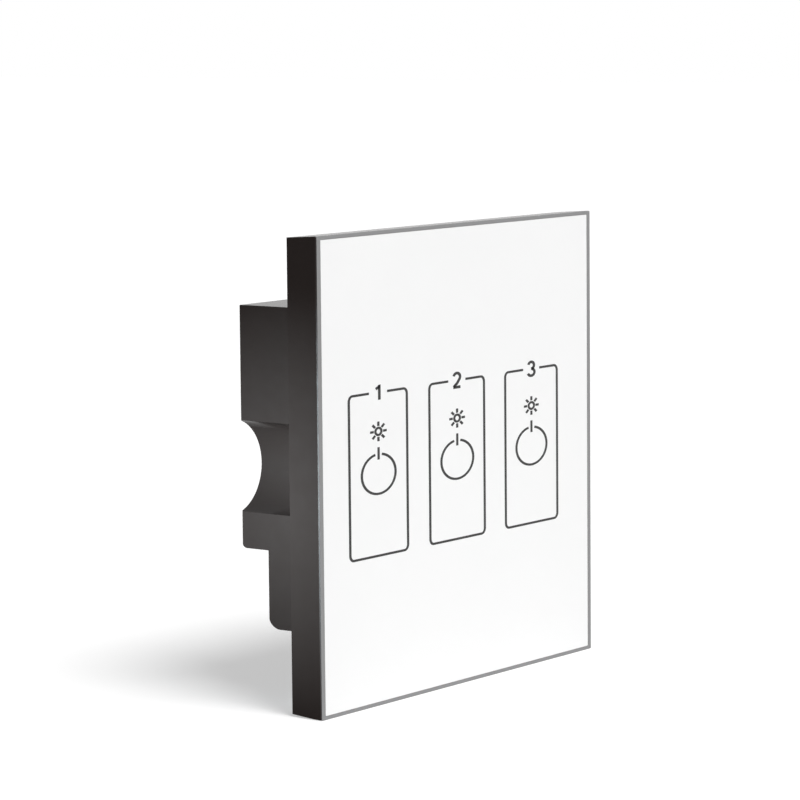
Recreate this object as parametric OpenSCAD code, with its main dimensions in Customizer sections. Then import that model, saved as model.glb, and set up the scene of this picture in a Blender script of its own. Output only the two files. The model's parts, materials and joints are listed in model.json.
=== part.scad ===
// Touch light switch with three touch zones, in millimetres.
// The origin is the middle of the wall plane, midway between the two wall screws.
// X points right as seen from the front, Y points into the wall and Z points up.

/* [Front cover] */
// Width and height of the square front cover
cover_w = 86; // [84:0.5:90]
// Depth of the front cover, from the wall to its face
cover_d = 7; // [6.8:0.1:9]
// Radius of the front cover's four corners
cover_corner_r = 0.3; // [0.2:0.1:3]
// How far each side of the front cover draws in towards the wall
cover_draw_in = 0.4; // [0.1:0.05:0.6]
// Depth of the straight edge behind the trim, before the sides draw in
cover_land = 0.2; // [0.1:0.1:1]
// Thickness of the shell's side walls
shell_wall = 1.7; // [1.5:0.1:2.2]
// Thickness of the glass panel
glass_t = 3; // [2.4:0.1:3]
// Width of the grey trim at the left and the right
trim_side_w = 1.05; // [0.8:0.05:1.6]
// Width of the grey trim at the top and the bottom
trim_end_w = 0.65; // [0.6:0.05:1.6]
// Thickness of the trim's face
trim_face_t = 0.3; // [0.2:0.05:0.6]
// Thickness of the trim's tongue, between the glass and the shell
trim_tongue_t = 0.25; // [0.2:0.05:0.3]
// Depth of the trim's tongue behind its face
trim_tongue_d = 1.4; // [1:0.1:2]
// Width of the ledge that carries the glass
ledge_w = 3.2; // [2.6:0.1:3.8]
// Thickness of the ledge that carries the glass
ledge_t = 1.1; // [0.8:0.1:1.2]
// Width of the prying notch under the cover
pry_w = 12; // [8:0.5:20]
// Depth of the prying notch
pry_d = 1.4; // [1:0.1:2]

/* [Touch board] */
// Gap between neighbouring touch electrodes
zone_gap = 8.2; // [6:0.1:9]
// Distance from the outer touch electrodes to the touch board's edge
zone_edge = 4.8; // [4:0.1:6]
// Sideways position of the middle touch zone
zone_row_x = -1.4; // [-1.6:0.1:1.6]
// Height of the touch zones' middle
zone_row_z = -0.8; // [-4:0.1:4]
// Height of one touch electrode
electrode_h = 27; // [20:0.5:30]
// Thickness of a touch electrode
electrode_t = 0.1; // [0.05:0.01:0.15]
// Thickness of the bonding film between board and glass
film_t = 0.2; // [0.2:0.05:0.3]
// Gap between the touch board's sides and the shell's ledge
touch_board_gap = 1.75; // [1:0.05:3]
// Height of the touch board
touch_board_h = 56; // [54:0.5:64]
// Thickness of the touch board
touch_board_t = 1; // [0.8:0.1:1]
// Height of the indicator lamps above the wall screws
lamp_z = 6.8; // [5:0.1:10]
// Radius of an indicator lamp's lens
lamp_r = 1; // [0.6:0.1:1.5]
// Radius of the notches that clear the wall screws' heads
head_clear_r = 4.4; // [4:0.1:4.8]

/* [Connector] */
// Distance between neighbouring pins
pin_pitch = 2; // [1.8:0.02:2.2]
// Radius of a pin
pin_r = 0.25; // [0.2:0.01:0.3]
// Height of the connector's row of pins
connector_z = 21; // [18:0.5:23]
// Height of the pin header's base
header_h = 1.3; // [1:0.1:1.5]

/* [Wall bracket] */
// Thickness of the steel bracket
bracket_t = 1.2; // [1:0.05:1.3]
// Gap all round between bracket and shell
bracket_gap = 0.7; // [0.5:0.05:1]
// Distance between the two wall screws
slot_spacing = 60.3; // [60:0.1:60.6]
// Half the width of a wall screw slot
slot_r = 2.1; // [1.9:0.05:2.3]
// Length of a wall screw slot
slot_length = 6.4; // [5.6:0.1:6.6]
// Sideways position of the spring clips
clip_x = 22; // [16:0.5:28]
// Width of a spring clip
clip_w = 8; // [6:0.5:10]
// Thickness of a spring clip
clip_t = 0.4; // [0.3:0.05:0.5]
// Depth of the clip channels in the shell's walls
channel_d = 0.5; // [0.4:0.05:0.7]

/* [Rear housing] */
// Width of the rear housing
housing_w = 66; // [65:0.5:70]
// Height of the rear housing
housing_h = 59; // [58:0.5:62]
// Distance of the housing's middle below the wall screws
housing_drop = 0.3; // [0:0.1:1]
// Depth of the housing's upper part behind the wall
housing_d = 19; // [18.6:0.1:24]
// Depth of the housing's lower part behind the wall
lower_d = 13; // [12.8:0.1:15]
// Height of the housing's lower part
lower_h = 14.4; // [14:0.1:15]
// Thickness of the housing's walls
housing_wall = 1.8; // [1.5:0.1:2]
// Radius of the reliefs for the wall box's screw lugs
relief_r = 8.8; // [8:0.1:9.2]
// Distance of the reliefs' axes outside the housing
relief_out = 2.7; // [2.5:0.1:4]
// Radius of the lower part's rear edge
lower_edge_r = 2.8; // [1:0.1:3.2]
// Radius of the step's rear edge
step_edge_r = 1.3; // [0.5:0.1:1.6]
// Radius of the housing's upright edges and of its upper rear edge
housing_edge_r = 0.5; // [0.2:0.1:0.8]

/* [Power board] */
// Gap between the wall plane and the power board
power_gap = 1.6; // [1.5:0.05:1.7]
// Thickness of the power board
power_board_t = 1.6; // [1.4:0.1:1.6]
// Height of a relay
relay_h = 12.6; // [10:0.1:13]
// Width of a relay
relay_w = 5.2; // [4.8:0.1:5.8]
// Length of a relay
relay_l = 20.2; // [18:0.1:20.4]
// Distance between neighbouring relays
relay_pitch = 6.6; // [6.4:0.1:6.8]

/* [Terminals] */
// Distance between neighbouring terminals
pole_pitch = 7.62; // [7.5:0.01:7.7]
// Length of a terminal along the wires
pole_l = 12; // [11.6:0.1:12.4]
// Half the width of a wire entry
wire_r = 1.25; // [1:0.05:1.25]
// Radius of a terminal screw's thread
thread_r = 1.25; // [1.1:0.05:1.3]
// Radius of a terminal screw's head
terminal_head_r = 2; // [1.9:0.05:2.1]
// Way that a clamping cage climbs
cage_travel = 2.25; // [2:0.05:2.25]

/* [Fits] */
// Gap between parts that are pushed together and stay
seat_gap = 0.05; // [0.02:0.01:0.1]
// Gap between the spring clips and their channels
clip_gap = 0.1; // [0.05:0.01:0.15]
// Gap around the power board and the inner sheet
board_gap = 0.4; // [0.3:0.05:0.6]
// Radial gap between a terminal screw and its cage
thread_gap = 0.05; // [0.02:0.01:0.1]
// Gap around moving pieces in the terminals
moving_gap = 0.3; // [0.2:0.05:0.3]

/* [Hidden] */
$fn = 64;

// How far a cutting body passes the face that it cuts
cut = 1;

// Levels in Y, from the face of the cover to the back of the housing
y_front = -cover_d;
y_shell_front = y_front + trim_face_t;
y_tongue_back = y_shell_front + trim_tongue_d;
y_land = y_shell_front + cover_land;
y_glass_back = y_front + glass_t;
y_touch_front = y_glass_back + film_t;
y_touch_back = y_touch_front + touch_board_t;
y_bracket_front = -bracket_t;
y_ledge_back = y_glass_back + ledge_t;
y_header_back = y_touch_back + header_h;
y_power_back = power_gap + power_board_t;

// Room for parts between the touch board and the bracket
front_room = y_bracket_front - y_touch_back;
chip_room = 0.3;
sounder_room = 0.2;
led_room = 0.5;
screw_room = 0.4;
chip_h = front_room - chip_room;
sounder_h = front_room - sounder_room;
led_h = front_room - led_room;
housing_head_h = front_room - screw_room;

// Half widths of the cover and its openings; pairs hold the half width and the half height
cover_half = cover_w / 2;
trim_inner = [cover_half - trim_side_w, cover_half - trim_end_w];
cavity_half = cover_half - shell_wall;
touch_board_half = trim_inner[0] - ledge_w - touch_board_gap;
bracket_half = cavity_half - bracket_gap;
channel_half = cavity_half + channel_d;
clip_outer = channel_half - clip_gap;
ledge_corner_r = 2;
cavity_corner_r = 1;
bracket_corner_r = 2;
clip_foot_l = 5;
clip_tail = 0.8;

// Touch zones
electrode_w = 2 * (touch_board_half - zone_edge - zone_gap) / 3;
zone_pitch = electrode_w + zone_gap;
electrode_keep_out = 0.5;
film_gap = 0.2;
touch_board_r = 2;

// Parts on the touch board's rear
touch_chip_w = 7;
touch_chip_x = -12.5;
touch_chip_z = -17.5;
control_chip_w = 10;
control_chip_l = 4;
control_chip_x = 12;
control_chip_z = -18;
touch_leg_count = 8;
touch_leg_pitch = 0.8;
control_leg_count = 8;
control_leg_pitch = 1.27;
chip_leg_w = 0.4;
chip_leg_t = 0.2;
chip_leg_l = 0.8;
chip_leg_rise = chip_h / 2;
led_w = 3.2;
led_l = 2.4;
sounder_w = 9;
sounder_z = -20.5;
sounder_hole_r = 0.7;
sounder_hole_out = 2.6;

// Levels in Z and half widths of the rear housing
z_top = housing_h / 2 - housing_drop;
z_bottom = -housing_h / 2 - housing_drop;
z_step = z_bottom + lower_h;
housing_half = housing_w / 2;
inner_half = housing_half - housing_wall;
relief_x = housing_half + relief_out;
inner_back = housing_d - housing_wall;
lower_inner_back = lower_d - housing_wall;

// Screw bosses in the housing's corners and posts for the power board
boss_r = 3;
boss_inset = 2.6;
boss_x = inner_half - boss_inset;
boss_z = [z_bottom + housing_wall + boss_inset, z_top - housing_wall - boss_inset];
boss_screw_r = 1.1;
boss_screw_d = 8;
boss_hole_gap = 0.4;
boss_head_r = 2.4;
post_r = 2.4;
post_wall_gap = 1.2;
post_drop = 12.9;
post_x = inner_half - post_r - post_wall_gap;
post_z = z_top - housing_wall - post_drop;
post_screw_r = 0.9;
post_screw_d = 5;
post_hole_gap = 0.2;
post_head_r = 1.9;
post_head_h = 1;
rest_r = 1.8;
rest_x = 22.8;
rest_up = 7.8;
rest_z = z_bottom + rest_up;
screw_tip_gap = 1;
screw_slot_w = 0.7;
screw_slot_d = 0.5;
cross_share = 0.7;
sheet_t = 0.3;

// Connector
pin_count = 8;
connector_end = 0.6;
connector_half = pin_count * pin_pitch / 2 + connector_end;
connector_depth = 1.6;
socket_hole_gap = 0.2;
connector_gap = 0.1;
pin_tip_gap = 0.4;
pin_tip_y = power_gap - pin_tip_gap;
socket_floor = 0.1;
bracket_window_gap = 1.4;
sheet_window_gap = 0.8;

// Terminals: their middle in X, the screws' axis in Z and the levels of the clamp in Y
pole_x = [for (i = [-2:2]) i * pole_pitch];
pole_gap = 0.12;
pole_half = (pole_pitch - pole_gap) / 2;
window_gap = 0.3;
window_half = 2 * pole_pitch + pole_half + window_gap;
pole_wall = 2.2;
pole_side_wall = 0.75;
clamp_gap = 0.1;
cage_half = pole_half - pole_side_wall - moving_gap;
cage_wall = 0.6;
cage_l = 4.8;
cage_z0 = z_bottom + pole_wall + moving_gap;
cage_z1 = cage_z0 + cage_l;
clamp_z = (cage_z0 + cage_z1) / 2;
cage_y0 = y_power_back + clamp_gap;
bar_t = 0.7;
bar_half = cage_half - cage_wall - moving_gap;
bar_y0 = cage_y0 + cage_wall + 2 * wire_r + clamp_gap;
bar_y1 = bar_y0 + bar_t;
nut_t = 1;
nut_y0 = bar_y1 + clamp_gap;
nut_y1 = nut_y0 + nut_t;
head_y0 = nut_y1 + cage_travel + clamp_gap;
head_h = 1.5;
head_y1 = head_y0 + head_h;
wire_y = cage_y0 + cage_wall + wire_r + clamp_gap / 2;
leg_half = 0.5;
leg_out = 1.8;
leg_l = 1;
leg_gap = 0.2;
leg_z1 = cage_z1 + moving_gap + leg_out;
leg_z0 = leg_z1 - leg_l;
head_cover = 0.3;
driver_r = terminal_head_r - head_cover;

// Parts on the power board's rear: their sizes and places, those at the sides measured from the inner walls
relay_row_in = 10;
relay_row_x = inner_half - relay_row_in;
relay_wall_gap = 0.8;
transformer_x = -8;
transformer_z = 15;
bobbin_h = 1.4;
bobbin_l = 12;
core_half = 6.5;
core_half_z = 3;
core_h = 10;
core_leg = 1.7;
core_yoke = 1.8;
coil_out = 2;
y_core = y_power_back + bobbin_h;
mains_capacitor_in = 10.2;
mains_capacitor_x = mains_capacitor_in - inner_half;
mains_capacitor_z = 18.5;
mains_capacitor_w = 5;
mains_capacitor_l = 12;
mains_capacitor_h = 11;
bulk_capacitor_in = 13.2;
bulk_capacitor_x = bulk_capacitor_in - inner_half;
bulk_capacitor_z = -8;
bulk_capacitor_r = 4;
bulk_capacitor_h = 12;
output_capacitor_in = 22.2;
output_capacitor_x = output_capacitor_in - inner_half;
output_capacitor_z = -8.5;
output_capacitor_r = 3.15;
output_capacitor_h = 11;
can_groove_d = 0.15;
can_groove_y0 = 1;
can_groove_y1 = 1.6;
choke_x = -1.2;
choke_z = -8.2;
choke_r = 3.4;
choke_coil_r = 2.7;
choke_flange = 1.2;
choke_h = 8;
fuse_in = 15.2;
fuse_x = fuse_in - inner_half;
fuse_z = 2;
fuse_r = 1.6;
fuse_l = 8;
fuse_lift = 0.6;
fuse_leg = 1;
varistor_in = 12.2;
varistor_x = inner_half - varistor_in;
varistor_z = 14;
varistor_r = 4.2;
varistor_t = 3.2;
varistor_lift = 1;
varistor_leg_r = 0.45;
varistor_leg_x = 2;
bridge_in = 12.2;
bridge_x = inner_half - bridge_in;
bridge_z = 21;
bridge_w = 5;
bridge_l = 4.2;
bridge_h = 2.6;
supply_chip_x = 8;
supply_chip_z = 13.5;
supply_chip_w = 5;
driver_chip_x = 8;
driver_chip_z = 21;
driver_chip_w = 10;
power_chip_l = 4;
power_chip_h = 1.7;

// A box from its lowest to its highest corner
module block(low, high) {
    translate(low) cube(high - low);
}

// Round bars along each axis
module rod_x(r, x0, x1, y, z) {
    translate([x0, y, z]) rotate([0, 90, 0]) cylinder(r = r, h = x1 - x0);
}

module rod_y(r, y0, y1, x, z) {
    translate([x, y0, z]) rotate([-90, 0, 0]) cylinder(r = r, h = y1 - y0);
}

module rod_z(r, z0, z1, x, y) {
    translate([x, y, z0]) cylinder(r = r, h = z1 - z0);
}

// Half width between the cover's sides at a level, drawn in from the land to the wall
function drawn_in_half(y) = cover_half - cover_draw_in * (y - y_land) / -y_land;

// A plate facing the wall with rounded corners, given by its half width, half height and levels
module plate(half_w, half_h, y0, y1, r) {
    block([-half_w + r, y0, -half_h], [half_w - r, y1, half_h]);
    block([-half_w, y0, -half_h + r], [half_w, y1, half_h - r]);
    for (x = [-half_w + r, half_w - r], z = [-half_h + r, half_h - r]) rod_y(r, y0, y1, x, z);
}

// The same at each touch zone, wall screw, housing boss or pin
module at_zones() {
    for (i = [-1:1]) translate([zone_row_x + i * zone_pitch, 0, 0]) children();
}

module at_wall_screws() {
    for (side = [-1, 1]) translate([side * slot_spacing / 2, 0, 0]) children();
}

module at_bosses() {
    for (side = [-1, 1], z = boss_z) translate([side * boss_x, 0, z]) children();
}

module at_posts() {
    for (side = [-1, 1]) translate([side * post_x, 0, post_z]) children();
}

module at_pins() {
    for (i = [0:pin_count - 1]) translate([(i - (pin_count - 1) / 2) * pin_pitch, 0, connector_z]) children();
}

module at_poles() {
    for (x = pole_x) translate([x, 0, 0]) children();
}

// Front cover

// A plate that is grown all round from the trim's opening
module trim_plate(grow, y0, y1, r) {
    plate(trim_inner[0] + grow, trim_inner[1] + grow, y0, y1, r);
}

module glass_panel() {
    color("white") trim_plate(-seat_gap, y_front, y_glass_back, cover_corner_r / 2);
}

module trim_frame() {
    color("silver") difference() {
        union() {
            plate(cover_half, cover_half, y_front, y_shell_front, cover_corner_r);
            trim_plate(trim_tongue_t, y_front, y_tongue_back, cover_corner_r / 2);
        }
        trim_plate(0, y_front - cut, 0, cover_corner_r / 2);
    }
}

// A bar along Z whose two sides draw in towards the wall
module drawn_in_bar() {
    front = drawn_in_half(y_front);
    back = drawn_in_half(cut);
    translate([0, 0, -cover_w]) linear_extrude(2 * cover_w)
        polygon([[-front, y_front], [front, y_front], [back, cut], [-back, cut]]);
}

module shell_outside() {
    intersection() {
        plate(cover_half, cover_half, y_shell_front, 0, cover_corner_r);
        drawn_in_bar();
        rotate([0, 90, 0]) drawn_in_bar();
    }
}

module front_shell() {
    color("#1c1a19") difference() {
        shell_outside();
        trim_plate(trim_tongue_t + seat_gap, y_front - cut, y_tongue_back + seat_gap, cover_corner_r / 2);
        trim_plate(0, y_front - cut, y_glass_back, cover_corner_r / 2);
        trim_plate(-ledge_w, y_front, 0, ledge_corner_r);
        plate(cavity_half, cavity_half, y_ledge_back, cut, cavity_corner_r);
        for (x = [-clip_x, clip_x], side = [-1, 1]) clip_channel(x, side);
        block([-pry_w / 2, -pry_d, -cover_half - cut], [pry_w / 2, cut, -cavity_half + cut]);
    }
}

module clip_channel(x, side) {
    half = clip_w / 2 + moving_gap;
    mirror([0, 0, side < 0 ? 1 : 0])
        block([x - half, y_ledge_back, cavity_half - cut], [x + half, cut, channel_half]);
}

module bonding_film() {
    half_w = electrode_w / 2 + film_gap;
    half_h = electrode_h / 2 + film_gap;
    color("#d9d4c4") difference() {
        plate(touch_board_half, touch_board_h / 2, y_glass_back, y_touch_front, touch_board_r);
        at_zones() block(
            [-half_w, y_glass_back - cut, zone_row_z - half_h],
            [half_w, y_touch_front + cut, zone_row_z + half_h]);
        head_notches(head_clear_r, y_glass_back - cut, y_touch_front + cut);
    }
}

// Room for the wall screws' heads, open to both sides
module head_notches(r, y0, y1) {
    for (side = [0, 1]) mirror([side, 0, 0]) {
        rod_y(r, y0, y1, slot_spacing / 2, 0);
        block([slot_spacing / 2, y0, -r], [cover_half, y1, r]);
    }
}

module touch_board() {
    color("#0f4d2e") difference() {
        plate(touch_board_half, touch_board_h / 2, y_touch_front, y_touch_back, touch_board_r);
        head_notches(head_clear_r, y_touch_front - cut, y_touch_back + cut);
        at_zones() rod_y(lamp_r, y_touch_front - cut, y_touch_back + cut, 0, lamp_z);
        at_pins() rod_y(pin_r + seat_gap, y_touch_front - cut, y_touch_back + cut, 0, 0);
    }
}

module touch_electrodes() {
    color("#c88a4a") difference() {
        at_zones() block(
            [-electrode_w / 2, y_touch_front - electrode_t, zone_row_z - electrode_h / 2],
            [electrode_w / 2, y_touch_front, zone_row_z + electrode_h / 2]);
        at_zones() rod_y(lamp_r + electrode_keep_out, y_front, y_touch_front + cut, 0, lamp_z);
        head_notches(head_clear_r + electrode_keep_out, y_front, y_touch_front + cut);
    }
}

// A part on the rear of the touch board, given by its place and size
module behind_touch_board(x, z, size_x, size_z, h) {
    block([x - size_x / 2, y_touch_back, z - size_z / 2], [x + size_x / 2, y_touch_back + h, z + size_z / 2]);
}

module touch_controller() {
    color("#202225") behind_touch_board(touch_chip_x, touch_chip_z, touch_chip_w, touch_chip_w, chip_h);
}

module control_chip() {
    color("#202225") behind_touch_board(
        control_chip_x, control_chip_z, control_chip_w, control_chip_l, chip_h);
}

// A row of bent legs along a chip's upper side, given by their number, pitch and the side's height
module leg_row(count, pitch, side) {
    half = chip_leg_w / 2;
    for (i = [0:count - 1]) translate([(i - (count - 1) / 2) * pitch, y_touch_back, side]) {
        block([-half, 0, 0], [half, chip_leg_rise, chip_leg_t]);
        block([-half, 0, 0], [half, chip_leg_t, chip_leg_l]);
    }
}

module touch_chip_legs() {
    color("#c4c7c9") {
        translate([touch_chip_x, 0, touch_chip_z]) for (turn = [0:90:270])
            rotate([0, turn, 0]) leg_row(touch_leg_count, touch_leg_pitch, touch_chip_w / 2);
        translate([control_chip_x, 0, control_chip_z]) for (turn = [0, 180])
            rotate([0, turn, 0]) leg_row(control_leg_count, control_leg_pitch, control_chip_l / 2);
    }
}

module indicator_leds() {
    color("#f4f1dc") at_zones() behind_touch_board(0, lamp_z, led_w, led_l, led_h);
}

module lamp_lenses() {
    color("#eaf3ff") at_zones() rod_y(lamp_r - seat_gap, y_touch_front, y_touch_back, 0, lamp_z);
}

module sounder() {
    color("#2a2a2c") difference() {
        behind_touch_board(0, sounder_z, sounder_w, sounder_w, sounder_h);
        translate([sounder_hole_out, 0, sounder_z + sounder_hole_out])
            rod_y(sounder_hole_r, y_touch_back + sounder_h / 2, cut, 0, 0);
    }
}

module pin_header() {
    color("#17181a") difference() {
        block(
            [-connector_half, y_touch_back, connector_z - connector_depth / 2],
            [connector_half, y_header_back, connector_z + connector_depth / 2]);
        at_pins() rod_y(pin_r, y_touch_back - cut, y_header_back + cut, 0, 0);
    }
}

module header_pins() {
    color("#d8b24a") at_pins() rod_y(pin_r, y_touch_front + seat_gap, pin_tip_y, 0, 0);
}

// Wall bracket and what it carries in front

module mounting_bracket() {
    window_half_w = connector_half + bracket_window_gap;
    window_half_h = connector_depth + bracket_window_gap;
    color("#b9bdc1") difference() {
        plate(bracket_half, bracket_half, y_bracket_front, 0, bracket_corner_r);
        at_wall_screws() wall_slot();
        at_bosses() rod_y(boss_screw_r + boss_hole_gap, y_bracket_front - cut, cut, 0, 0);
        block(
            [-window_half_w, y_bracket_front - cut, connector_z - window_half_h],
            [window_half_w, cut, connector_z + window_half_h]);
    }
}

module wall_slot() {
    end = slot_length / 2 - slot_r;
    for (x = [-end, end]) rod_y(slot_r, y_bracket_front - cut, cut, x, 0);
    block([-end, y_bracket_front - cut, -slot_r], [end, cut, slot_r]);
}

module spring_clips() {
    color("#c9ccd0") for (x = [-clip_x, clip_x], side = [0, 1]) mirror([0, 0, side]) spring_clip(x);
}

module spring_clip(x) {
    half = clip_w / 2;
    foot_y = y_bracket_front - clip_t;
    block([x - half, foot_y, clip_outer - clip_foot_l], [x + half, y_bracket_front, clip_outer]);
    block(
        [x - half, y_ledge_back + moving_gap, clip_outer - clip_t],
        [x + half, y_bracket_front + clip_tail, clip_outer]);
}

// Rear housing

module insulation_sheet() {
    window_half_w = connector_half + sheet_window_gap;
    window_half_h = connector_depth + sheet_window_gap;
    color("#e6dcc0") difference() {
        inner_plate(0, sheet_t);
        block(
            [-window_half_w, -cut, connector_z - window_half_h],
            [window_half_w, cut, connector_z + window_half_h]);
    }
}

// A plate that fills the housing with a gap round its walls and bosses
module inner_plate(y0, y1) {
    half = inner_half - board_gap;
    difference() {
        block(
            [-half, y0, z_bottom + housing_wall + board_gap],
            [half, y1, z_top - housing_wall - board_gap]);
        lug_reliefs(relief_r + housing_wall + board_gap, y0 - cut, y1 + cut);
        at_bosses() rod_y(boss_r + board_gap, y0 - cut, y1 + cut, 0, 0);
    }
}

module lug_reliefs(r, y0, y1) {
    for (side = [-1, 1]) rod_y(r, y0, y1, side * relief_x, -housing_drop);
}

module rear_housing() {
    color("#1f1c1b") difference() {
        union() {
            difference() {
                housing_outside();
                housing_inside();
            }
            housing_supports();
        }
        lug_reliefs(relief_r, -cut, housing_d + cut);
        at_bosses() rod_y(boss_screw_r, -cut, boss_screw_d + screw_tip_gap, 0, 0);
        at_posts() rod_y(
            post_screw_r, y_power_back - cut, y_power_back + post_screw_d + screw_tip_gap, 0, 0);
        block(
            [-window_half, y_power_back - window_gap, z_bottom - cut],
            [window_half, lower_d + cut, z_bottom + pole_l + window_gap]);
    }
}

module housing_outside() {
    difference() {
        union() {
            block([-housing_half, 0, z_step], [housing_half, housing_d, z_top]);
            block([-housing_half, 0, z_bottom], [housing_half, lower_d, z_step]);
        }
        edge_cut(lower_d, z_bottom, lower_edge_r);
        edge_cut(housing_d, z_step, step_edge_r);
        mirror([0, 0, 1]) edge_cut(housing_d, -z_top, housing_edge_r);
        upright_cuts(lower_d, z_bottom - cut, z_step);
        upright_cuts(housing_d, z_step - cut, z_top + cut);
    }
}

// What a rounded lower rear edge takes away
module edge_cut(y, z, r) {
    difference() {
        block([-housing_w, y - r, z - cut], [housing_w, y + cut, z + r]);
        rod_x(r, -housing_w - cut, housing_w + cut, y - r, z + r);
    }
}

// What the rounded upright rear edges take away at both sides
module upright_cuts(y, z0, z1) {
    r = housing_edge_r;
    for (side = [0, 1]) mirror([side, 0, 0]) difference() {
        block([housing_half - r, y - r, z0], [housing_half + cut, y + cut, z1]);
        rod_z(r, z0 - cut, z1 + cut, housing_half - r, y - r);
    }
}

module housing_inside() {
    difference() {
        union() {
            block(
                [-inner_half, -cut, z_step + housing_wall],
                [inner_half, inner_back, z_top - housing_wall]);
            block(
                [-inner_half, -cut, z_bottom + housing_wall],
                [inner_half, lower_inner_back, z_step + 2 * housing_wall]);
        }
        lug_reliefs(relief_r + housing_wall, -2 * cut, housing_d);
    }
}

// Corner bosses for the bracket's screws, posts for the board's screws and two rests below
module housing_supports() {
    for (side = [-1, 1]) {
        rod_y(boss_r, 0, inner_back + cut, side * boss_x, boss_z[1]);
        rod_y(boss_r, 0, lower_inner_back + cut, side * boss_x, boss_z[0]);
        rod_y(rest_r, y_power_back, lower_inner_back + cut, side * rest_x, rest_z);
    }
    at_posts() rod_y(post_r, y_power_back, inner_back + cut, 0, 0);
}

// A pan head screw along Y, its head towards the front
module pan_screw(head_r, head_h, shank_r, head_y, shank_l) {
    difference() {
        union() {
            rod_y(head_r, head_y - head_h, head_y, 0, 0);
            rod_y(shank_r, head_y, head_y + shank_l, 0, 0);
        }
        cross_slot(head_r, head_y - head_h);
    }
}

module cross_slot(r, y) {
    half = screw_slot_w / 2;
    block([-r * cross_share, y - cut, -half], [r * cross_share, y + screw_slot_d, half]);
    block([-half, y - cut, -r * cross_share], [half, y + screw_slot_d, r * cross_share]);
}

module housing_screws() {
    color("#a9adb3") at_bosses()
        pan_screw(
            boss_head_r, housing_head_h, boss_screw_r - seat_gap,
            y_bracket_front, boss_screw_d + bracket_t);
}

module board_screws() {
    color("#a9adb3") at_posts()
        pan_screw(
            post_head_r, post_head_h, post_screw_r - seat_gap,
            power_gap, power_board_t + post_screw_d);
}

// Power board and its parts

module power_board() {
    color("#14532f") difference() {
        inner_plate(power_gap, y_power_back);
        at_posts() rod_y(post_screw_r + post_hole_gap, power_gap - cut, y_power_back + cut, 0, 0);
        at_poles() block(
            [-leg_half - leg_gap, power_gap - cut, leg_z0 - leg_gap],
            [leg_half + leg_gap, y_power_back + cut, leg_z1 + leg_gap]);
    }
}

module board_socket() {
    y0 = y_header_back + connector_gap;
    color("#17181a") difference() {
        block(
            [-connector_half, y0, connector_z - connector_depth],
            [connector_half, power_gap, connector_z + connector_depth]);
        at_pins() rod_y(pin_r + socket_hole_gap, y0 - cut, power_gap - socket_floor, 0, 0);
    }
}

// A part that stands on the rear of the power board, given by its place and size
module on_board(x, z, size_x, size_z, h) {
    block([x - size_x / 2, y_power_back, z - size_z / 2], [x + size_x / 2, y_power_back + h, z + size_z / 2]);
}

module relay(i) {
    relay_x = relay_row_x + (i - 3) * relay_pitch;
    relay_z = z_step + housing_wall + relay_wall_gap + relay_l / 2;
    color("#2f6fae") on_board(relay_x, relay_z, relay_w, relay_l, relay_h);
}

module relay_1() { relay(1); }
module relay_2() { relay(2); }
module relay_3() { relay(3); }

module transformer_bobbin() {
    color("#26231f") on_board(transformer_x, transformer_z, 2 * core_half, bobbin_l, bobbin_h);
}

module transformer_core() {
    color("#3b3d40") translate([transformer_x, 0, transformer_z]) difference() {
        block([-core_half, y_core, -core_half_z], [core_half, y_core + core_h, core_half_z]);
        for (side = [0, 1]) mirror([side, 0, 0]) block(
            [core_leg, y_core + core_yoke, -core_half_z - cut],
            [core_half - core_leg, y_core + core_h - core_yoke, core_half_z + cut]);
    }
}

module transformer_coil() {
    half = core_half - core_leg - seat_gap;
    y0 = y_core + core_yoke;
    y1 = y_core + core_h - core_yoke;
    color("#d9b23c") translate([transformer_x, 0, transformer_z]) difference() {
        block([-half, y0, -core_half_z - coil_out], [half, y1, core_half_z + coil_out]);
        block([-core_leg, y0 - cut, -core_half_z], [core_leg, y1 + cut, core_half_z]);
    }
}

module mains_capacitor() {
    color("#b7a431") on_board(
        mains_capacitor_x, mains_capacitor_z, mains_capacitor_w, mains_capacitor_l, mains_capacitor_h);
}

module round_capacitor(x, z, r, h) {
    difference() {
        rod_y(r, y_power_back, y_power_back + h, x, z);
        difference() {
            rod_y(r + cut, y_power_back + can_groove_y0, y_power_back + can_groove_y1, x, z);
            rod_y(r - can_groove_d, y_power_back, y_power_back + h, x, z);
        }
    }
}

module bulk_capacitor() {
    color("#25324f") round_capacitor(
        bulk_capacitor_x, bulk_capacitor_z, bulk_capacitor_r, bulk_capacitor_h);
}

module output_capacitor() {
    color("#25324f") round_capacitor(
        output_capacitor_x, output_capacitor_z, output_capacitor_r, output_capacitor_h);
}

module choke() {
    y1 = y_power_back + choke_h;
    color("#3a3330") {
        rod_y(choke_r, y_power_back, y_power_back + choke_flange, choke_x, choke_z);
        rod_y(choke_coil_r, y_power_back + choke_flange, y1 - choke_flange, choke_x, choke_z);
        rod_y(choke_r, y1 - choke_flange, y1, choke_x, choke_z);
    }
}

module fuse() {
    y = y_power_back + fuse_r + fuse_lift;
    half = fuse_leg / 2;
    color("#cfd3d6") translate([fuse_x, 0, fuse_z]) {
        rod_x(fuse_r, -fuse_l / 2, fuse_l / 2, y, 0);
        for (x = [fuse_leg - fuse_l / 2, fuse_l / 2 - fuse_leg])
            block([x - half, y_power_back, -half], [x + half, y, half]);
    }
}

module varistor() {
    y = y_power_back + varistor_r + varistor_lift;
    color("#1f5f9c") translate([varistor_x, 0, varistor_z]) {
        rod_z(varistor_r, -varistor_t / 2, varistor_t / 2, 0, y);
        for (side = [-1, 1]) rod_y(varistor_leg_r, y_power_back, y, side * varistor_leg_x, 0);
    }
}

module bridge_rectifier() {
    color("#202225") on_board(bridge_x, bridge_z, bridge_w, bridge_l, bridge_h);
}

module supply_chip() {
    color("#202225") on_board(supply_chip_x, supply_chip_z, supply_chip_w, power_chip_l, power_chip_h);
}

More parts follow.
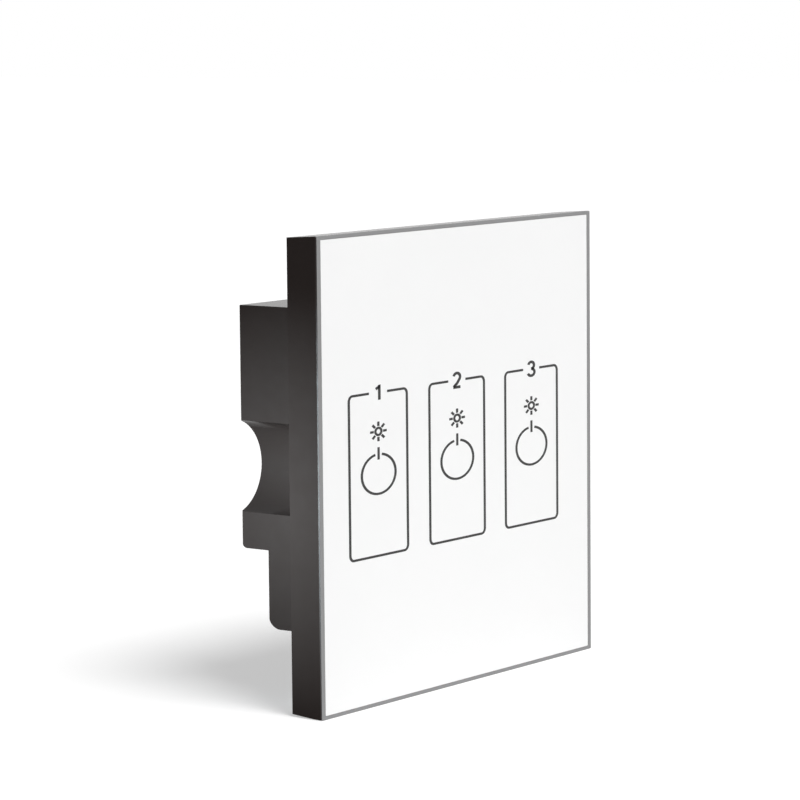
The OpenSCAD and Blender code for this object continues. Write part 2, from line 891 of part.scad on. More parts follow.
module relay_driver() {
    color("#202225") on_board(driver_chip_x, driver_chip_z, driver_chip_w, power_chip_l, power_chip_h);
}

// Terminals

module terminal_poles() {
    color("#2c2a28") difference() {
        at_poles() block([-pole_half, y_power_back, z_bottom], [pole_half, lower_d, z_bottom + pole_l]);
        edge_cut(lower_d, z_bottom, lower_edge_r);
        at_poles() pole_hollow();
    }
}

// The cage's space, the contact's space, the wire's entry and the screw's recess
module pole_hollow() {
    half = cage_half + moving_gap;
    block(
        [-half, y_power_back - cut, cage_z0 - moving_gap],
        [half, head_y0 + 2 * clamp_gap, cage_z1 + moving_gap]);
    block(
        [-bar_half - clamp_gap, y_power_back - cut, cage_z1],
        [bar_half + clamp_gap, bar_y1 + clamp_gap, leg_z1]);
    rod_z(wire_r, z_bottom - cut, cage_z0, 0, wire_y);
    rod_y(terminal_head_r + moving_gap, y_power_back, head_y1 + clamp_gap, 0, clamp_z);
    rod_y(driver_r, y_power_back, lower_d + cut, 0, clamp_z);
}

module terminal_contacts() {
    color("#c9a24d") at_poles() {
        block([-bar_half, bar_y0, cage_z0], [bar_half, bar_y1, leg_z1]);
        block([-leg_half, power_gap + leg_gap, leg_z0], [leg_half, bar_y1, leg_z1]);
    }
}

module terminal_screw(i) {
    color("#b8bcc2") translate([pole_x[i - 1], 0, clamp_z]) difference() {
        union() {
            rod_y(thread_r, bar_y1 + clamp_gap / 2, head_y0, 0, 0);
            rod_y(terminal_head_r, head_y0, head_y1, 0, 0);
        }
        block(
            [-terminal_head_r - cut, head_y1 - screw_slot_d, -screw_slot_w / 2],
            [terminal_head_r + cut, head_y1 + cut, screw_slot_w / 2]);
    }
}

module terminal_screw_1() { terminal_screw(1); }
module terminal_screw_2() { terminal_screw(2); }
module terminal_screw_3() { terminal_screw(3); }
module terminal_screw_4() { terminal_screw(4); }
module terminal_screw_5() { terminal_screw(5); }

module terminal_cage(i) {
    inside = cage_half - cage_wall;
    color("#cfb56a") translate([pole_x[i - 1], 0, 0]) difference() {
        block([-cage_half, cage_y0, cage_z0], [cage_half, nut_y1, cage_z1]);
        block([-inside, cage_y0 + cage_wall, cage_z0 - cut], [inside, nut_y0, cage_z1 + cut]);
        rod_y(thread_r + thread_gap, nut_y0 - cut, nut_y1 + cut, 0, clamp_z);
    }
}

module terminal_cage_1() { terminal_cage(1); }
module terminal_cage_2() { terminal_cage(2); }
module terminal_cage_3() { terminal_cage(3); }
module terminal_cage_4() { terminal_cage(4); }
module terminal_cage_5() { terminal_cage(5); }

glass_panel();
trim_frame();
front_shell();
bonding_film();
touch_board();
touch_electrodes();
touch_controller();
control_chip();
touch_chip_legs();
indicator_leds();
lamp_lenses();
sounder();
pin_header();
header_pins();
mounting_bracket();
spring_clips();
insulation_sheet();
rear_housing();
housing_screws();
power_board();
board_screws();
board_socket();
relay_1();
relay_2();
relay_3();
transformer_core();
transformer_coil();
transformer_bobbin();
mains_capacitor();
bulk_capacitor();
output_capacitor();
choke();
fuse();
varistor();
bridge_rectifier();
supply_chip();
relay_driver();
terminal_poles();
terminal_contacts();
terminal_screw_1();
terminal_screw_2();
terminal_screw_3();
terminal_screw_4();
terminal_screw_5();
terminal_cage_1();
terminal_cage_2();
terminal_cage_3();
terminal_cage_4();
terminal_cage_5();
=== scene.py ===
"""Looks of the touch light switch: materials, printed marks, floor, light and camera."""

import json
import math
from functools import partial
from types import SimpleNamespace

import bmesh
import bpy
from mathutils import Matrix, Vector


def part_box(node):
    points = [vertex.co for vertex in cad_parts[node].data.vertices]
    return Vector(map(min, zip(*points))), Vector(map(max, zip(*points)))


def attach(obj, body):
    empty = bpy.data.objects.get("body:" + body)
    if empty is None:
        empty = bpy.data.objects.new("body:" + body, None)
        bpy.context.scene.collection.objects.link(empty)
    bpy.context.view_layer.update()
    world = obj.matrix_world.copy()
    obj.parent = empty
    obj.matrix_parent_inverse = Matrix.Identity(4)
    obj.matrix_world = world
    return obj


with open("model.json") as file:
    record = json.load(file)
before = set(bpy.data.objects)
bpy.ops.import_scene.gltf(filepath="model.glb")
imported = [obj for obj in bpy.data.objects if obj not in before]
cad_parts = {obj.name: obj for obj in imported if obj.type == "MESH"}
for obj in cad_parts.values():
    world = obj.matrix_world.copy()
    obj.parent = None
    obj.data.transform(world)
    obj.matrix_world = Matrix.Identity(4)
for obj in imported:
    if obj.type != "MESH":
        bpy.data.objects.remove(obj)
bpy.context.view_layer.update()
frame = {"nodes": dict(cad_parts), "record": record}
MM = 0.001


# Node trees

# The values that most of a noise texture lies between, and how rough it is
NOISE_LOW = 0.3
NOISE_HIGH = 0.7
NOISE_ROUGHNESS = 0.55
# A face points along an axis when more than this share of its normal lies along it
FACING_LIMIT = 0.8


class Nodes:
    """A node tree in the making, with short ways to add nodes and to fill their sockets."""

    def __init__(self, tree):
        self.tree = tree

    def fill(self, socket, value):
        """Joins another node's output to a socket, or sets the socket to a plain value."""
        if isinstance(value, bpy.types.NodeSocket):
            self.tree.links.new(value, socket)
        else:
            socket.default_value = value

    def add(self, kind, inputs=None, **settings):
        """A node of a kind with its settings, and with its input sockets filled by name or number."""
        node = self.tree.nodes.new(kind)
        for name, value in settings.items():
            setattr(node, name, value)
        for name, value in (inputs or {}).items():
            self.fill(node.inputs[name], value)
        return node

    def calculate(self, operation, *values):
        """The result of an operation on one or two values."""
        return self.add("ShaderNodeMath", dict(enumerate(values)), operation=operation).outputs["Value"]

    def position(self, stretch=(1, 1, 1)):
        """The point on the piece in millimetres, stretched along the axes."""
        point = self.add("ShaderNodeTexCoord").outputs["Object"]
        scale = [factor / MM for factor in stretch]
        return self.add("ShaderNodeMapping", {"Vector": point, "Scale": scale}).outputs["Vector"]

    def noise(self, where, scale, detail=3.0):
        """Cloudy noise with features about 1 / scale millimetres wide."""
        inputs = {"Vector": where, "Scale": scale, "Detail": detail, "Roughness": NOISE_ROUGHNESS}
        return self.add("ShaderNodeTexNoise", inputs).outputs["Fac"]

    def spread(self, noise, low=0.0, high=1.0):
        """Noise spread over the range from low to high."""
        span = {"From Min": NOISE_LOW, "From Max": NOISE_HIGH, "To Min": low, "To Max": high}
        return self.add("ShaderNodeMapRange", {"Value": noise, **span}).outputs["Result"]

    def mix(self, factor, first, second):
        """A colour between two, by a factor from 0 to 1; a colour is three numbers or a socket."""
        node = self.add("ShaderNodeMix", {"Factor": factor}, data_type="RGBA")
        ends = [socket for socket in node.inputs if socket.type == "RGBA"]
        for socket, colour in zip(ends, (first, second)):
            self.fill(socket, colour if isinstance(colour, bpy.types.NodeSocket) else (*colour, 1))
        return next(socket for socket in node.outputs if socket.type == "RGBA")

    def bump(self, height, strength, depth):
        """A normal from a height, for a relief whose depth is in millimetres."""
        inputs = {"Height": height, "Strength": strength, "Distance": depth * MM}
        return self.add("ShaderNodeBump", inputs).outputs["Normal"]

    def facing(self, axis):
        """1 on faces that point along an axis of the piece, either way, and 0 on the others."""
        normal = self.add("ShaderNodeTexCoord").outputs["Normal"]
        along = self.add("ShaderNodeSeparateXYZ", {"Vector": normal}).outputs[axis]
        return self.calculate("GREATER_THAN", self.calculate("ABSOLUTE", along), FACING_LIMIT)

    def hatch(self, where, pitch, width):
        """1 on the lines of a grid at 45 degrees across a board, 0 between them; sizes in millimetres."""
        inputs = {"Vector": where, "Rotation": (0, math.radians(45), 0)}
        turned = self.add("ShaderNodeMapping", inputs).outputs["Vector"]
        axes = self.add("ShaderNodeSeparateXYZ", {"Vector": turned}).outputs
        lines = []
        for axis in "XZ":
            off_line = self.calculate("PINGPONG", axes[axis], pitch / 2)
            lines.append(self.calculate("LESS_THAN", off_line, width / 2))
        return self.calculate("MAXIMUM", *lines)

    def background_ray(self):
        """1 for rays from the camera and for those that mirrors and glass send on, 0 for the rest."""
        path = self.add("ShaderNodeLightPath").outputs
        seen = self.calculate("MAXIMUM", path["Is Camera Ray"], path["Is Glossy Ray"])
        return self.calculate("MAXIMUM", seen, path["Is Transmission Ray"])


class Surface(Nodes):
    """A material in the making."""

    def __init__(self, name):
        self.material = bpy.data.materials.new(name)
        self.material.use_nodes = True
        super().__init__(self.material.node_tree)

    def shade(self, inputs):
        """Fills the shader's sockets and gives the material."""
        shader = self.tree.nodes["Principled BSDF"]
        for name, value in inputs.items():
            self.fill(shader.inputs[name], value)
        return self.material


# Materials


def tinted(colour, factor):
    """A colour made paler or darker."""
    return tuple(min(1.0, part * factor) for part in colour)


def shades(colour, variation):
    """A colour made darker and paler by a share of it."""
    return tinted(colour, 1 - variation), tinted(colour, 1 + variation)


def around(value, variation):
    """A value made lower and higher by a share of it."""
    return value * (1 - variation), value * (1 + variation)


def plastic(name, colour, roughness=0.4, specular=0.4, grain=6.0, relief=0.015, variation=0.12, polish=None):
    """Moulded plastic: a fine grain, slow shifts of tone and of gloss; its level faces may be polished."""
    surface = Surface(name)
    where = surface.position()
    tone = surface.spread(surface.noise(where, scale=0.07))
    gloss = surface.spread(surface.noise(where, scale=0.4), *around(roughness, variation=0.08))
    if polish is not None:
        levels = {"Factor": surface.facing("Z"), "A": gloss, "B": polish}
        gloss = surface.add("ShaderNodeMix", levels).outputs["Result"]
    return surface.shade({
        "Base Color": surface.mix(tone, *shades(colour, variation)),
        "Roughness": gloss,
        "Normal": surface.bump(surface.noise(where, grain, detail=2.0), strength=0.25, depth=relief),
        "Specular IOR Level": specular,
    })


def metal(name, colour, roughness=0.3, stretch=(0.05, 1, 1), grain=9.0, relief=0.004, variation=0.1):
    """Drawn or stamped metal: fine lines along one axis, slow shifts of gloss."""
    surface = Surface(name)
    lines = surface.noise(surface.position(stretch), grain, detail=4.0)
    slow = surface.noise(surface.position(), scale=0.15)
    return surface.shade({
        "Base Color": surface.mix(surface.spread(lines), *shades(colour, variation)),
        "Roughness": surface.spread(slow, *around(roughness, variation=0.15)),
        "Normal": surface.bump(lines, strength=0.3, depth=relief),
        "Metallic": 1.0,
    })


def trim_with_shaded_sides(name, front, side_shade):
    """A strip ground to a plain grey with fine lines on its front; its left and right sides are painted the
    case's dark as painted shade, matching the dark case beside them.
    """
    surface = Surface(name)
    where = surface.position()
    lines = surface.spread(surface.noise(where, scale=9.0, detail=2.0))
    bare = surface.mix(lines, *shades(front, variation=0.04))
    return surface.shade({
        # Painted shade: the left and right sides take the case's dark in place of the grey
        "Base Color": surface.mix(surface.facing("X"), bare, side_shade),
        "Roughness": surface.spread(surface.noise(where, scale=0.4), low=0.42, high=0.5),
        "Normal": surface.bump(lines, strength=0.25, depth=0.004),
        "Specular IOR Level": 0.2,
    })


def white_glass(name):
    """Clear glass painted white behind: an even white under a smooth glossy face."""
    surface = Surface(name)
    where = surface.position()
    slow = surface.spread(surface.noise(where, scale=0.03))
    return surface.shade({
        "Base Color": surface.mix(slow, (0.948, 0.949, 0.948), (0.958, 0.958, 0.957)),
        "Roughness": surface.spread(surface.noise(where, scale=0.12), low=0.055, high=0.075),
        "Specular IOR Level": 0.5,
    })


def circuit_board(name, colour, ground):
    """Solder mask over a board: a dark base, paler where the copper ground's hatching lies under it."""
    surface = Surface(name)
    where = surface.position()
    lines = surface.hatch(where, pitch=1.3, width=0.22)
    slow = surface.spread(surface.noise(where, scale=0.1), high=0.35)
    base = surface.mix(slow, colour, tinted(colour, 1.25))
    return surface.shade({
        "Base Color": surface.mix(lines, base, ground),
        "Normal": surface.bump(lines, strength=0.3, depth=0.02),
        "Roughness": surface.spread(surface.noise(where, scale=1.5), low=0.28, high=0.38),
    })


def wound_wire(name, colour):
    """Enamelled wire wound round the core: close turns in relief, each painted darker towards the grooves
    between turns as painted shade.
    """
    surface = Surface(name)
    inputs = {"Vector": surface.position(), "Scale": 1.1, "Distortion": 0.3}
    turn_relief_and_shade = surface.add("ShaderNodeTexWave", inputs, wave_type="BANDS", bands_direction="Y").outputs["Fac"]
    return surface.shade({
        # Painted shade: the wire's colour falls to under half in the grooves between turns
        "Base Color": surface.mix(turn_relief_and_shade, tinted(colour, 0.45), colour),
        "Normal": surface.bump(turn_relief_and_shade, strength=0.7, depth=0.15),
        "Metallic": 0.7,
        "Roughness": 0.35,
    })


def clear_lens(name):
    """Clear plastic light guide with a frosted end."""
    surface = Surface(name)
    where = surface.position()
    haze = surface.spread(surface.noise(where, scale=0.8))
    return surface.shade({
        "Base Color": surface.mix(haze, (0.84, 0.89, 0.94), (0.92, 0.95, 0.98)),
        "Roughness": surface.spread(surface.noise(where, scale=5.0), low=0.15, high=0.3),
        "Transmission Weight": 0.55,
        "IOR": 1.49,
    })


def printed_ink(name, colour):
    """Dark print on the face: thin, almost matt, with a slightly uneven cover."""
    surface = Surface(name)
    where = surface.position()
    cover = surface.spread(surface.noise(where, scale=3.0))
    return surface.shade({
        "Base Color": surface.mix(cover, tinted(colour, 0.85), tinted(colour, 1.2)),
        "Roughness": surface.spread(surface.noise(where, scale=8.0), low=0.4, high=0.55),
        "Specular IOR Level": 0.3,
    })


DARK = (0.0285, 0.0226, 0.0212)
dark_case = partial(plastic, colour=DARK, roughness=0.65, specular=0.02, variation=0.02, polish=0.15)
# The look of each material slot in the record
LOOKS = {
    "white_glass": white_glass,
    # The trim's left and right sides get the case's dark as painted shade
    "grey_trim": partial(trim_with_shaded_sides, front=(0.28, 0.28, 0.282), side_shade=DARK),
    "dark_shell": dark_case,
    "dark_housing": dark_case,
    "clear_film": partial(plastic, colour=(0.78, 0.76, 0.69), roughness=0.5, grain=2.0),
    "board_green": partial(circuit_board, colour=(0.010, 0.085, 0.038), ground=(0.018, 0.125, 0.055)),
    "copper": partial(metal, colour=(0.72, 0.40, 0.22), roughness=0.35),
    "chip_black": partial(
        plastic, colour=(0.022, 0.022, 0.025), roughness=0.55, specular=0.35, grain=9.0, relief=0.02),
    "lamp_white": partial(plastic, colour=(0.82, 0.80, 0.66), roughness=0.35, specular=0.5),
    "lens_clear": clear_lens,
    "connector_black": partial(plastic, colour=(0.016, 0.016, 0.018), roughness=0.5),
    "gold_pin": partial(metal, colour=(0.78, 0.57, 0.2), roughness=0.22),
    "zinc_steel": partial(metal, colour=(0.56, 0.58, 0.6), roughness=0.34, stretch=(0.04, 1, 1), grain=7.0),
    "spring_steel": partial(metal, colour=(0.62, 0.63, 0.65), roughness=0.2, stretch=(1, 1, 0.05)),
    "insulation": partial(
        plastic, colour=(0.7, 0.63, 0.46), roughness=0.6, specular=0.3, grain=3.0, relief=0.03),
    "relay_blue": partial(plastic, colour=(0.03, 0.15, 0.36), roughness=0.3, specular=0.5),
    "ferrite": partial(
        plastic, colour=(0.04, 0.04, 0.044), roughness=0.65, specular=0.3, grain=4.0, relief=0.05),
    "winding": partial(wound_wire, colour=(0.62, 0.4, 0.1)),
    "film_yellow": partial(plastic, colour=(0.55, 0.42, 0.05), roughness=0.32, specular=0.5),
    "can_blue": partial(plastic, colour=(0.02, 0.035, 0.1), roughness=0.22, specular=0.5),
    "fuse_grey": partial(plastic, colour=(0.5, 0.52, 0.54), roughness=0.25, specular=0.5),
    "disc_blue": partial(
        plastic, colour=(0.015, 0.12, 0.36), roughness=0.35, specular=0.5, grain=3.0, relief=0.05),
    "terminal_black": partial(plastic, colour=(0.038, 0.035, 0.033), roughness=0.42, specular=0.3),
    "brass_metal": partial(metal, colour=(0.7, 0.5, 0.2), roughness=0.28),
}
MATERIALS = {slot: make(slot) for slot, make in LOOKS.items()}
INK = printed_ink("ink_dark", (0.034, 0.033, 0.033))
TRACK = plastic("track_green", (0.022, 0.16, 0.07), roughness=0.3, specular=0.5, grain=4.0, relief=0.01)
TIN = metal("tin", (0.62, 0.62, 0.6), stretch=(1, 1, 1), grain=5.0)

for part in frame["record"]["subparts"]:
    part_materials = frame["nodes"][part["node"]].data.materials
    part_materials.clear()
    part_materials.append(MATERIALS[part["material_slot"]])


# Flat shapes on the front cover, drawn in x and z in millimetres


def extent(node):
    """A node's sides and middle as seen from the front, in millimetres."""
    low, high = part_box(node)
    return SimpleNamespace(
        left=low.x / MM, right=high.x / MM, low=low.z / MM, high=high.z / MM,
        x=(low.x + high.x) / 2 / MM, z=(low.z + high.z) / 2 / MM)


def place_new(name, data):
    """A new object in the scene."""
    thing = bpy.data.objects.new(name, data)
    bpy.context.scene.collection.objects.link(thing)
    return thing


def flat_piece(name, outlines, front, back, material):
    """Thin solids between two levels in metres, one for each closed outline, that ride on the front cover."""
    shape = bmesh.new()
    for outline in outlines:
        near = [shape.verts.new((x * MM, front, z * MM)) for x, z in outline]
        far = [shape.verts.new((x * MM, back, z * MM)) for x, z in outline]
        shape.faces.new(near)
        shape.faces.new(list(reversed(far)))
        for i in range(len(outline)):
            j = (i + 1) % len(outline)
            shape.faces.new((near[j], near[i], far[i], far[j]))
    bmesh.ops.recalc_face_normals(shape, faces=shape.faces)
    mesh = bpy.data.meshes.new(name)
    shape.to_mesh(mesh)
    shape.free()
    mesh.materials.append(material)
    piece = place_new(name, mesh)
    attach(piece, "front_cover")


def stroke(points, pen_w, pen_h, closed=False):
    """Four-sided outlines along a line; the pen is an ellipse, pen_w across and pen_h high."""
    count = len(points)
    sides = []
    for i, (x, z) in enumerate(points):
        before = points[i - 1] if closed or i > 0 else points[i]
        after = points[(i + 1) % count] if closed or i < count - 1 else points[i]
        run_x = (after[0] - before[0]) / pen_w
        run_z = (after[1] - before[1]) / pen_h
        length = math.hypot(run_x, run_z)
        across_x = -run_z / length * pen_w / 2
        across_z = run_x / length * pen_h / 2
        sides.append(((x + across_x, z + across_z), (x - across_x, z - across_z)))
    quads = []
    for i in range(count if closed else count - 1):
        (a, b), (c, d) = sides[i], sides[(i + 1) % count]
        quads.append([a, b, d, c])
    return quads


def arc(x, z, radius_x, radius_z, start, end, steps):
    """Points on an ellipse between two angles in degrees, anticlockwise from the right."""
    points = []
    for i in range(steps + 1):
        angle = math.radians(start + (end - start) * i / steps)
        points.append((x + radius_x * math.cos(angle), z + radius_z * math.sin(angle)))
    return points


# Printed marks on the glass, centred on the touch electrodes

# How far the ink stands proud of the glass, and its thickness, in metres
INK_PROUD = 0.012 * MM
INK_THICK = 0.03 * MM
# Width of upright lines and height of level ones
LINE_W = 0.70
LINE_H = 0.44
# Distance between the zones, and how much wider than high their symbols are
PITCH = 24.2
STRETCH = 1.4
# Each zone's frame: its size, its corners and the gap for the numeral
FRAME_W = 17.3
FRAME_H = 29.6
FRAME_R = 1.0
FRAME_GAP = 5.4
CORNER_STEPS = 6
# Power symbol: middle and height of its ring, half of its opening in degrees, and how far its bar
# reaches below and above the ring's top
RING_Z = -0.75
RING_H = 7.2
RING_OPENING = 11
RING_STEPS = 72
BAR_BELOW = 1.0
BAR_ABOVE = 1.25
# Sun: middle, radius of its ring, and where its rays start and end
SUN_Z = 6.95
SUN_R = 0.64
SUN_STEPS = 24
RAY_START = 0.98
RAY_END = 1.78
RAYS = 8
# Numerals: height, and how much bolder they are than the other lines
NUMERAL_H = 2.7
BOLD_W = 1.15
BOLD_H = 1.2
# The lines of each numeral in a box of unit height, with its middle at x = 0
NUMERALS = {
    1: [[(-0.18, 0.74), (0.02, 0.84), (0.1, 1.0), (0.1, 0.0)]],
    2: [arc(0, 0.72, 0.27, 0.27, 165, -35, 14) + [(0.02, 0.29), (-0.27, 0.05)], [(-0.3, 0.02), (0.3, 0.02)]],
    3: [arc(0, 0.74, 0.25, 0.24, 165, -90, 14), arc(0, 0.25, 0.29, 0.25, 90, -165, 14)],
}

zone_row = extent("touch_electrodes")
zone_x = [zone_row.x + i * PITCH for i in (-1, 0, 1)]
frame_top = zone_row.z + FRAME_H / 2


def zone_frame(x):
    """A rectangle with round corners, open at the top for the numeral."""
    left, right = x - FRAME_W / 2 + FRAME_R, x + FRAME_W / 2 - FRAME_R
    low, high = zone_row.z - FRAME_H / 2 + FRAME_R, frame_top - FRAME_R
    corners = ((left, high, 90), (left, low, 180), (right, low, 270), (right, high, 0))
    points = [(x - FRAME_GAP / 2, frame_top)]
    for corner_x, corner_z, start in corners:
        points += arc(corner_x, corner_z, FRAME_R, FRAME_R, start, start + 90, CORNER_STEPS)
    points.append((x + FRAME_GAP / 2, frame_top))
    return stroke(points, LINE_W, LINE_H)


def power_mark(x):
    """A ring that is open at the top, with a bar in the opening."""
    top = RING_Z + RING_H / 2
    ring = arc(x, RING_Z, RING_H / 2 * STRETCH, RING_H / 2, 90 + RING_OPENING, 450 - RING_OPENING, RING_STEPS)
    bar = [(x, top - BAR_BELOW), (x, top + BAR_ABOVE)]
    return stroke(ring, LINE_W, LINE_H) + stroke(bar, LINE_W, LINE_H)


def sun_mark(x):
    """A small ring with short rays."""
    ring = arc(x, SUN_Z, SUN_R * STRETCH, SUN_R, 0, 360 - 360 / SUN_STEPS, SUN_STEPS - 1)
    outlines = stroke(ring, LINE_W, LINE_H, closed=True)
    for i in range(RAYS):
        angle = 2 * math.pi * i / RAYS
        along_x, along_z = math.cos(angle) * STRETCH, math.sin(angle)
        ray = [(x + along_x * reach, SUN_Z + along_z * reach) for reach in (RAY_START, RAY_END)]
        outlines += stroke(ray, LINE_W, LINE_H)
    return outlines


def numeral(x, digit):
    """A numeral in the gap of its zone's frame."""
    base = frame_top - NUMERAL_H / 2
    outlines = []
    for line in NUMERALS[digit]:
        points = [(x + px * NUMERAL_H * STRETCH, base + pz * NUMERAL_H) for px, pz in line]
        outlines += stroke(points, LINE_W * BOLD_W, LINE_H * BOLD_H)
    return outlines


def print_mark(name, outlines):
    """A mark on the glass, a little sunk and a little proud."""
    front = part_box("glass_panel")[0].y - INK_PROUD
    flat_piece(name, outlines, front, front + INK_THICK, INK)


for zone, x in enumerate(zone_x, start=1):
    print_mark(f"zone_frame_{zone}", zone_frame(x))
    print_mark(f"power_mark_{zone}", power_mark(x))
    print_mark(f"sun_mark_{zone}", sun_mark(x))
    print_mark(f"numeral_{zone}", numeral(x, zone))


# Tracks and pads on the touch board's rear

# Width of a track, and the height of tracks and pads above the board in metres
TRACK_W = 0.35
TRACK_H = 0.04 * MM
PAD_H = 0.06 * MM
# Distances between the header's pins and between the two chips' legs, the legs in a row, and how many
# of them are joined to the header
PIN_PITCH = 2.0
CONTROL_LEG_PITCH = 1.27
TOUCH_LEG_PITCH = 0.8
ROW_LEGS = 8
HEADER_LEGS = 4
# How far the header's tracks run straight down before they slant towards each chip
CONTROL_RUN = 9.0
TOUCH_RUN = 7.0
# For each electrode: the height of its via, the slant at the corners of its track, and the leg it ends at
VIA_Z = (-10.0, -8.0, -10.0)
SENSE_CUT = (4.0, 5.8, 2.0)
SENSE_LEG = (4, 6, 5)
# The vias: their radius and how many sides they are drawn with
VIA_R = 0.55
VIA_SIDES = 16
# Distance of the third electrode's track below the sounder
UNDER_SOUNDER = 1.2
# The sounder's tracks: how many, how far the first runs below the control chip, spacing and slant
SOUNDER_LEGS = 2
SOUNDER_DROP = 1.6
SOUNDER_PITCH = 1.0
SOUNDER_CUT = 1.0
# The line round the board: its distance from the edge, its slant, and half its gap at the notches
GUARD_EDGE = 1.0
GUARD_CUT = 2.0
GUARD_OPEN = 6.0
# Pads beside the lamps
LAMP_PAD_W = 1.0
LAMP_PAD_HALF_H = 0.8

board = extent("touch_board")
header = extent("pin_header")
control = extent("control_chip")
touch = extent("touch_controller")
sounder = extent("sounder")


def control_leg(number):
    """Where a leg of the control chip is in x, counted from the left."""
    return control.x + (number - (ROW_LEGS - 1) / 2) * CONTROL_LEG_PITCH


def touch_leg(middle, number):
    """Where a leg of the touch controller is along its side, counted from the left or from below."""
    return middle + (number - (ROW_LEGS - 1) / 2) * TOUCH_LEG_PITCH


def jogged(start, turn, end):
    """A track that runs straight down to a level, slants across at 45 degrees and runs down to its end."""
    return [start, (start[0], turn), (end[0], turn - abs(end[0] - start[0])), end]


def slanted(points, cut):
    """A track through the points, with each of its corners cut off at 45 degrees."""
    track = [points[0]]
    for before, corner, after in zip(points, points[1:], points[2:]):
        for x, z in (before, after):
            share = cut / math.hypot(x - corner[0], z - corner[1])
            track.append((corner[0] + (x - corner[0]) * share, corner[1] + (z - corner[1]) * share))
    return track + [points[-1]]


def header_tracks():
    """From the header's pins down to the upper legs of the two chips."""
    tracks = []
    for i in range(HEADER_LEGS):
        pin = (i + 0.5) * PIN_PITCH
        leg = (control_leg(ROW_LEGS - HEADER_LEGS + i), control.high)
        tracks.append(jogged((pin, header.z), header.z - CONTROL_RUN, leg))
        leg = (touch_leg(touch.x, ROW_LEGS - 1 - i), touch.high)
        tracks.append(jogged((-pin, header.z), header.z - TOUCH_RUN, leg))
    return tracks


def sense_tracks():
    """From each electrode's via to a leg of the touch controller; the third one runs below the sounder."""
    left_leg = touch_leg(touch.z, SENSE_LEG[0])
    right_leg = touch_leg(touch.z, SENSE_LEG[1])
    lower_leg = touch_leg(touch.x, SENSE_LEG[2])
    below = sounder.low - UNDER_SOUNDER
    ways = (
        [(zone_x[0], left_leg), (touch.left, left_leg)],
        [(zone_x[1], right_leg), (touch.right, right_leg)],
        [(zone_x[2], below), (lower_leg, below), (lower_leg, touch.low)],
    )
    return [slanted([(x, z)] + way, cut) for x, z, way, cut in zip(zone_x, VIA_Z, ways, SENSE_CUT)]


def sounder_tracks():
    """From the sounder's side to two of the control chip's lower legs."""
    tracks = []
    for i in range(SOUNDER_LEGS):
        leg = control_leg(i)
        level = control.low - SOUNDER_DROP - i * SOUNDER_PITCH
        tracks.append(slanted([(sounder.right, level), (leg, level), (leg, control.low)], SOUNDER_CUT))
    return tracks


def guard_tracks():
    """A line round the board's edge, open at the notches for the wall screws."""
    left, right = board.left + GUARD_EDGE, board.right - GUARD_EDGE
    tracks = []
    for edge, gap in ((board.high - GUARD_EDGE, GUARD_OPEN), (board.low + GUARD_EDGE, -GUARD_OPEN)):
        tracks.append(slanted([(left, gap), (left, edge), (right, edge), (right, gap)], GUARD_CUT))
    return tracks


def via_pads():
    """A round tinned pad where each electrode comes through the board."""
    last = 360 - 360 / VIA_SIDES
    return [arc(x, z, VIA_R, VIA_R, 0, last, VIA_SIDES - 1) for x, z in zip(zone_x, VIA_Z)]


def lamp_pads():
    """A tinned pad at the left and the right of each lamp."""
    lamps = extent("indicator_leds")
    lamp_half = (lamps.right - lamps.left) / 2 - PITCH
    low, high = lamps.z - LAMP_PAD_HALF_H, lamps.z + LAMP_PAD_HALF_H
    pads = []
    for x in zone_x:
        for left in (x - lamp_half - LAMP_PAD_W, x + lamp_half):
            right = left + LAMP_PAD_W
            pads.append([(left, low), (right, low), (right, high), (left, high)])
    return pads


def make_board_detail():
    """Tracks under the mask, and tinned pads."""
    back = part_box("touch_board")[1].y
    outlines = []
    for track in header_tracks() + sense_tracks() + sounder_tracks() + guard_tracks():
        outlines += stroke(track, TRACK_W, TRACK_W)
    flat_piece("touch_board_tracks", outlines, back - TRACK_H, back + TRACK_H, TRACK)
    flat_piece("touch_board_pads", via_pads() + lamp_pads(), back - TRACK_H, back + PAD_H, TIN)


make_board_detail()


# Floor, light and camera, in metres and degrees

# Strength of the world's light on the object, where 1 is white
AMBIENT = 0.22
# The floor: its gap below the part, half its width, its colour, and the light that makes it read as white
FLOOR_GAP = 0.05 * MM
FLOOR_HALF = 4.0
FLOOR_COLOUR = (0.58, 0.58, 0.58, 1)
FLOOR_LIFT = 0.45
WHITE = (1, 1, 1, 1)
# The key: a wide sun from the front and above
KEY_STRENGTH = 3.25
KEY_WIDTH = 30
KEY_TILT = 32
KEY_TURN = -12
# The side lamp: small, and placed where the camera would see it if the left side were a mirror
SIDE_TARGET = Vector((-0.037, 0.005, -0.0052))
SIDE_DIRECTION = Vector((-0.797, 0.594, 0))
SIDE_DISTANCE = 0.3
SIDE_W = 0.02
SIDE_H = 0.004
SIDE_POWER = 0.0228
SIDE_SPREAD = 15
SIDE_COLOUR = (0.8, 0.95, 1.0)
# The camera: a long lens, left of the face and a little above it
CAMERA_PLACE = (-0.53213, -0.38960, 0.08390)
CAMERA_TURN = -53.29
CAMERA_RISE = 6.41
CAMERA_ROLL = -0.52
LENS_MM = 160.2
SENSOR_MM = 36
CLIP_NEAR = 0.01
CLIP_FAR = 50


def make_world():
    """White behind the object, and an even soft light of lower strength on it."""
    world = bpy.data.worlds.new("studio")
    world.use_nodes = True
    nodes = Nodes(world.node_tree)
    inputs = {"Value": nodes.background_ray(), "To Min": AMBIENT, "To Max": 1.0}
    strength = nodes.add("ShaderNodeMapRange", inputs).outputs["Result"]
    background = world.node_tree.nodes["Background"]
    nodes.fill(background.inputs["Color"], WHITE)
    nodes.fill(background.inputs["Strength"], strength)
    bpy.context.scene.world = world


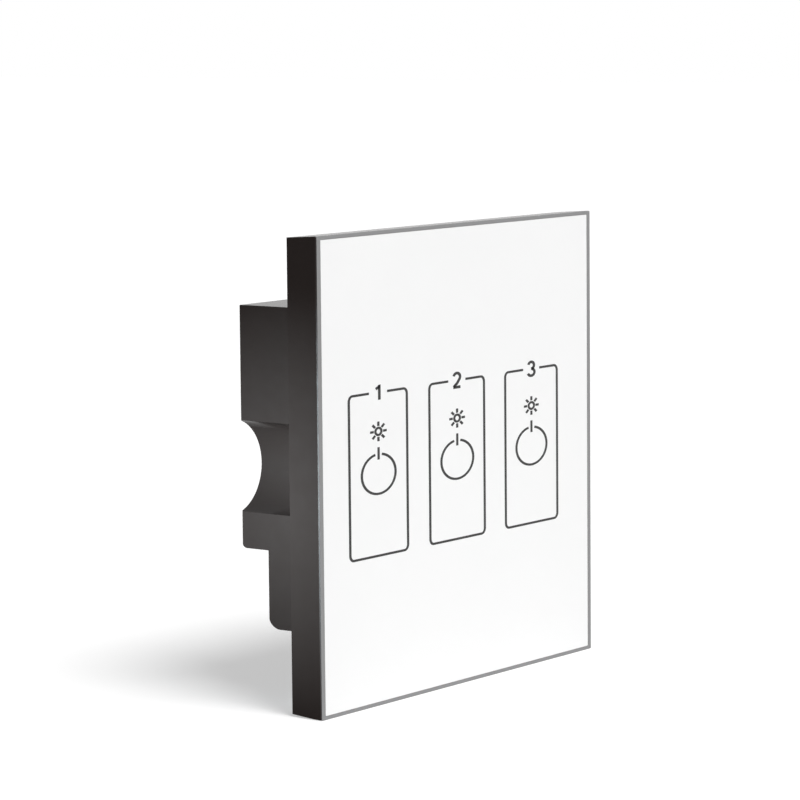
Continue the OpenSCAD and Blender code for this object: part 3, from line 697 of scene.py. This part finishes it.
def make_floor():
    """A wide plain floor that reads as white and keeps the shadow."""
    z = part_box("front_shell")[0].z - FLOOR_GAP
    corners = [(x * FLOOR_HALF, y * FLOOR_HALF, z) for x, y in ((-1, -1), (1, -1), (1, 1), (-1, 1))]
    mesh = bpy.data.meshes.new("floor")
    mesh.from_pydata(corners, [], [(0, 1, 2, 3)])
    surface = Surface("floor_white")
    mesh.materials.append(surface.shade({
        "Base Color": FLOOR_COLOUR,
        "Roughness": 0.9,
        "Specular IOR Level": 0.0,
        "Emission Color": WHITE,
        "Emission Strength": surface.calculate("MULTIPLY", surface.background_ray(), FLOOR_LIFT),
    }))
    floor = place_new("floor", mesh)


def make_key():
    """The main light, which also throws the shadow."""
    sun = bpy.data.lights.new("key", "SUN")
    sun.energy = KEY_STRENGTH
    sun.angle = math.radians(KEY_WIDTH)
    place_new("key", sun).rotation_euler = (math.radians(KEY_TILT), 0, math.radians(KEY_TURN))


def make_side_lamp():
    """A narrow beam on the dark left side, which fades above and below its middle."""
    lamp = bpy.data.lights.new("side_strip", "AREA")
    lamp.shape = "RECTANGLE"
    lamp.size = SIDE_W
    lamp.size_y = SIDE_H
    lamp.energy = SIDE_POWER
    lamp.spread = math.radians(SIDE_SPREAD)
    lamp.color = SIDE_COLOUR
    strip = place_new("side_strip", lamp)
    strip.location = SIDE_TARGET + SIDE_DIRECTION * SIDE_DISTANCE
    strip.rotation_euler = (-SIDE_DIRECTION).to_track_quat("-Z", "Y").to_euler()


def make_camera():
    """The photo's viewpoint."""
    turn, rise, roll = (math.radians(angle) for angle in (CAMERA_TURN, CAMERA_RISE, CAMERA_ROLL))
    back = Vector((math.sin(turn) * math.cos(rise), -math.cos(turn) * math.cos(rise), math.sin(rise)))
    level = Vector((math.cos(turn), math.sin(turn), 0))
    upright = back.cross(level)
    right = level * math.cos(roll) + upright * math.sin(roll)
    up = upright * math.cos(roll) - level * math.sin(roll)
    lens = bpy.data.cameras.new("camera")
    lens.sensor_width = SENSOR_MM
    lens.lens = LENS_MM
    lens.clip_start = CLIP_NEAR
    lens.clip_end = CLIP_FAR
    camera = place_new("camera", lens)
    axes = Matrix((right, up, back)).transposed().to_4x4()
    camera.matrix_world = Matrix.Translation(CAMERA_PLACE) @ axes
    bpy.context.scene.camera = camera


make_world()
make_floor()
make_key()
make_side_lamp()
make_camera()
bpy.context.scene.view_settings.view_transform = "Standard"
